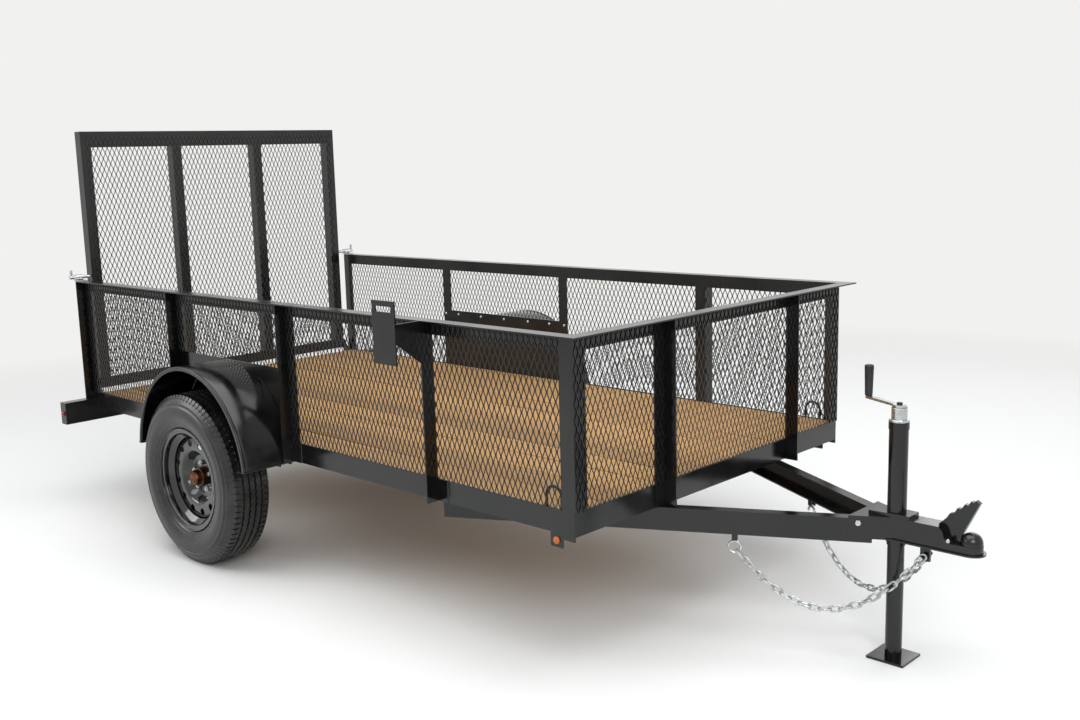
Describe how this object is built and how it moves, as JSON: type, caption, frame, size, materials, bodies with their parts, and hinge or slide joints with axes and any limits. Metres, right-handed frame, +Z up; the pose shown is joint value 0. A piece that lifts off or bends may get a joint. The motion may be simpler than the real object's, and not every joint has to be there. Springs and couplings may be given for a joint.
{
  "type": "utility trailer",
  "caption": "Single-axle utility trailer with a plank deck, expanded-metal sides, a folding rear ramp gate, a tongue jack and a ball coupler.",
  "frame": {"origin": "on the ground, under the middle of the trailer's whole length and width at rest", "axes": "+X forward to the coupler, +Y to the trailer's left side, +Z up"},
  "size_m": [4.0138, 2.005, 1.7552],
  "materials": {
    "frame_paint": "gloss black enamel",
    "rim_paint": "satin black enamel",
    "tyre": "matt",
    "deck_wood": "treated pine, sawn",
    "zinc": "zinc plated",
    "amber_lens": "gloss",
    "red_lens": "gloss",
    "grip_plastic": "matt"
  },
  "bodies": {
    "chassis": {"axle": "frame_paint", "chain_left": "zinc", "chain_right": "zinc", "coupler": "frame_paint", "coupler_latch": "zinc", "crossmembers": "frame_paint", "deck_boards": "deck_wood", "fender_frame_left": "frame_paint", "fender_frame_right": "frame_paint", "fender_left": "frame_paint", "fender_right": "frame_paint", "front_rail": "frame_paint", "gate_lugs": "frame_paint", "jack_crank": "zinc", "jack_grip": "grip_plastic", "jack_tube": "frame_paint", "latch_pins": "zinc", "marker_lamps": "amber_lens", "mesh_front": "frame_paint", "mesh_left": "frame_paint", "mesh_right": "frame_paint", "posts_front": "frame_paint", "posts_left": "frame_paint", "posts_right": "frame_paint", "rear_beam": "frame_paint", "side_rail_left": "frame_paint", "side_rail_right": "frame_paint", "spare_carrier": "frame_paint", "spring_left": "frame_paint", "spring_mounts": "frame_paint", "spring_right": "frame_paint", "tail_lamps": "red_lens", "tie_loops": "frame_paint", "tongue_left": "frame_paint", "tongue_right": "frame_paint", "top_rail_front": "frame_paint", "top_rail_left": "frame_paint", "top_rail_right": "frame_paint"},
    "wheel_right": {"tyre_right": "tyre", "rim_right": "rim_paint", "hub_right": "zinc"},
    "wheel_left": {"tyre_left": "tyre", "rim_left": "rim_paint", "hub_left": "zinc"},
    "gate": {"gate_frame": "frame_paint", "gate_mesh": "frame_paint"},
    "jack_leg": {"jack_leg": "frame_paint"}
  },
  "joints": [
    {"name": "wheel_right_spin", "type": "hinge", "parent": "chassis", "child": "wheel_right", "pos_m": [-0.76659, -0.9, 0.3445], "axis": [0, 1, 0], "continuous": true},
    {"name": "wheel_left_spin", "type": "hinge", "parent": "chassis", "child": "wheel_left", "pos_m": [-0.76659, 0.9, 0.3445], "axis": [0, 1, 0], "continuous": true},
    {"name": "gate_hinge", "type": "hinge", "parent": "chassis", "child": "gate", "pos_m": [-1.9815, 0, 0.5616], "axis": [0, -1, 0], "range_deg": [0, 116]},
    {"name": "jack_slide", "type": "slide", "parent": "chassis", "child": "jack_leg", "axis": [0, 0, 1], "range_m": [-0.05, 0.18]}
  ]
}
